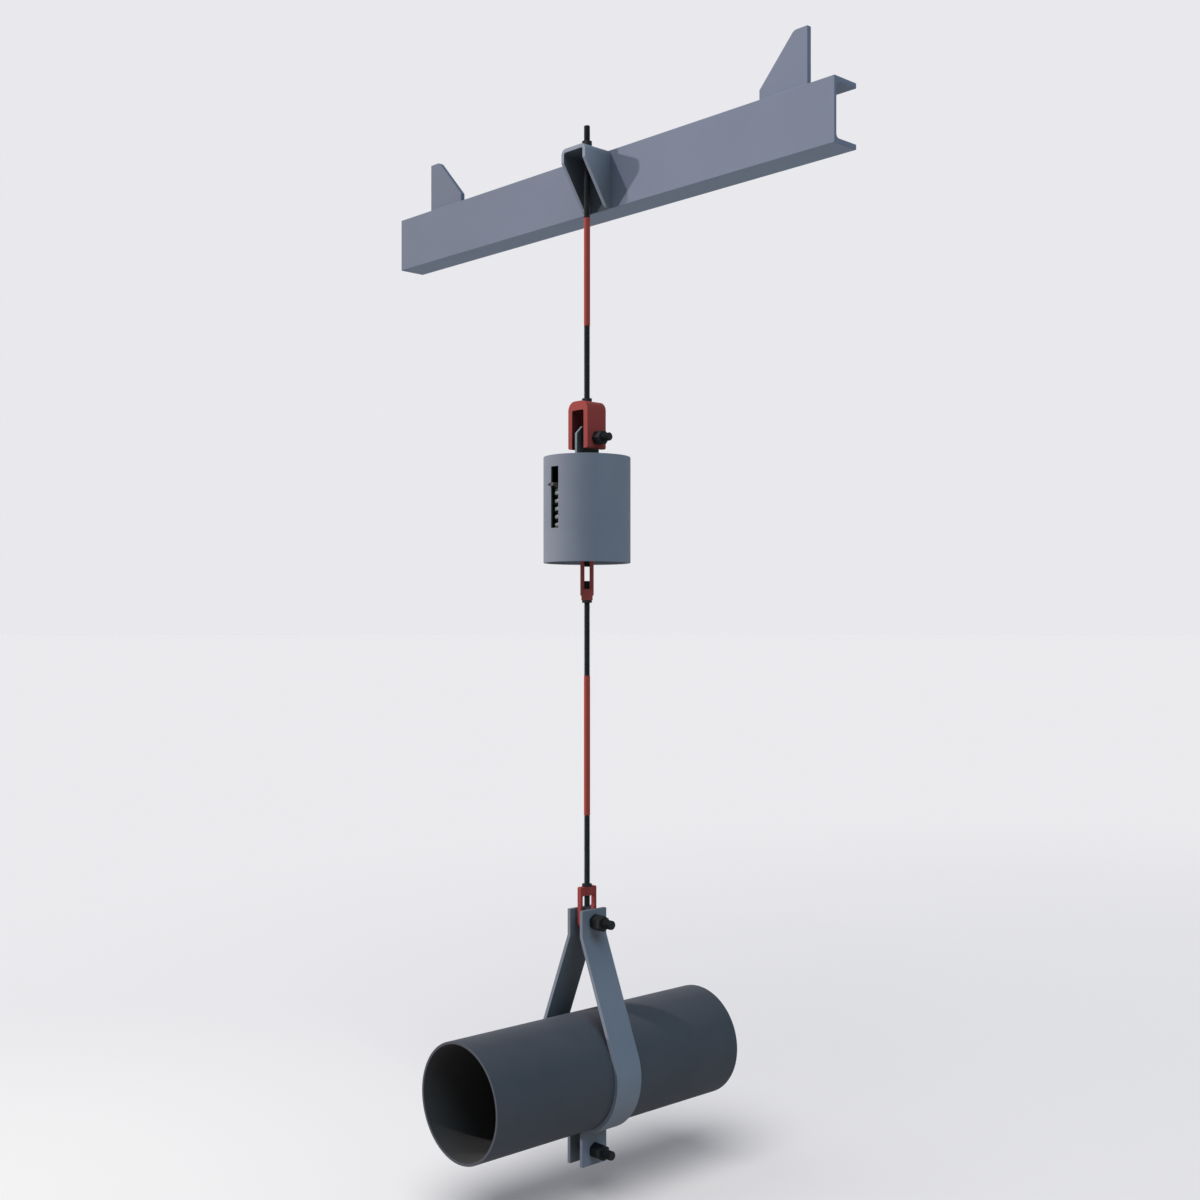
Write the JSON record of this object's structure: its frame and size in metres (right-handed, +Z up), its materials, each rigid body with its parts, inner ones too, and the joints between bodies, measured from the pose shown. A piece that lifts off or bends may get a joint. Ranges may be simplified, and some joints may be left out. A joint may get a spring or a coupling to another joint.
{
  "type": "spring pipe hanger",
  "caption": "Spring hanger below a channel beam: a sprung casing hung between tie rods, with a fork above it and a turnbuckle, eye nut and bolted pipe clamp below.",
  "frame": {"origin": "on the pipe's axis, halfway along the pipe section, straight below the hanger rod at rest", "axes": "+X along the beam and the bolts, +Y along the pipe away from the viewer of the picture, +Z up along the rods"},
  "size_m": [1.2275, 0.626, 2.0685],
  "materials": {
    "grey_paint": "matte blue-grey paint",
    "red_paint": "satin red paint, black on the threads",
    "black_steel": "black oxide",
    "pipe_steel": "dark varnished steel",
    "spring_steel": "light grey coated spring wire",
    "bare_steel": "machined steel"
  },
  "bodies": {
    "support_beam": {"channel_beam": "grey_paint", "gusset_left": "grey_paint", "gusset_right": "grey_paint", "beam_bracket": "grey_paint", "cup_washer": "bare_steel"},
    "upper_rod": {"ball_washer": "bare_steel", "top_nut": "black_steel", "upper_tie_rod": "red_paint", "fork_locknut": "black_steel", "fork": "red_paint", "fork_bolt": "black_steel", "fork_nut": "black_steel"},
    "casing": {"casing_tube": "grey_paint", "casing_top_plate": "grey_paint", "casing_bottom_plate": "grey_paint", "casing_lug": "grey_paint", "coil_spring": "spring_steel"},
    "load_carrier": {"spring_plate": "bare_steel", "load_rod": "black_steel", "load_nut": "black_steel", "travel_pointer": "bare_steel", "pointer_screw": "bare_steel"},
    "turnbuckle_body": {"turnbuckle": "red_paint"},
    "lower_rod": {"lower_tie_rod": "red_paint", "turnbuckle_locknut": "black_steel", "eye_locknut": "black_steel", "eye_nut": "red_paint"},
    "pipe_clamp": {"clamp_half_left": "grey_paint", "clamp_half_right": "grey_paint", "clamp_upper_bolt": "black_steel", "clamp_upper_nut": "black_steel", "clamp_lower_bolt": "black_steel", "clamp_lower_nut": "black_steel", "pipe_section": "pipe_steel"}
  },
  "joints": [
    {"name": "rod_swing", "type": "hinge", "parent": "support_beam", "child": "upper_rod", "pos_m": [0, 0, 1.7917], "axis": [1, 0, 0], "range_deg": [-4.5, 4.5]},
    {"name": "casing_swing", "type": "hinge", "parent": "upper_rod", "child": "casing", "pos_m": [0, 0, 1.21595], "axis": [1, 0, 0], "range_deg": [-10, 10]},
    {"name": "spring_travel", "type": "slide", "parent": "casing", "child": "load_carrier", "axis": [0, 0, 1], "range_m": [-0.043, 0.031], "stiffness_N_per_m": 2879.8, "springref_m": 0.08139, "deforming": ["coil_spring"]},
    {"name": "rod_advance", "type": "slide", "parent": "load_carrier", "child": "lower_rod", "axis": [0, 0, -1], "range_m": [0, 0.014]},
    {"name": "turnbuckle_turn", "type": "hinge", "parent": "load_carrier", "child": "turnbuckle_body", "pos_m": [0, 0, 0.90525], "axis": [0, 0, 1], "range_deg": [0, 1440.1]},
    {"name": "clamp_swing", "type": "hinge", "parent": "lower_rod", "child": "pipe_clamp", "pos_m": [0, 0, 0.28655], "axis": [1, 0, 0], "range_deg": [-10, 10]}
  ],
  "couplings": [
    {"joint": "turnbuckle_turn", "follows": "rod_advance", "rad_per_m": 1795.2}
  ]
}
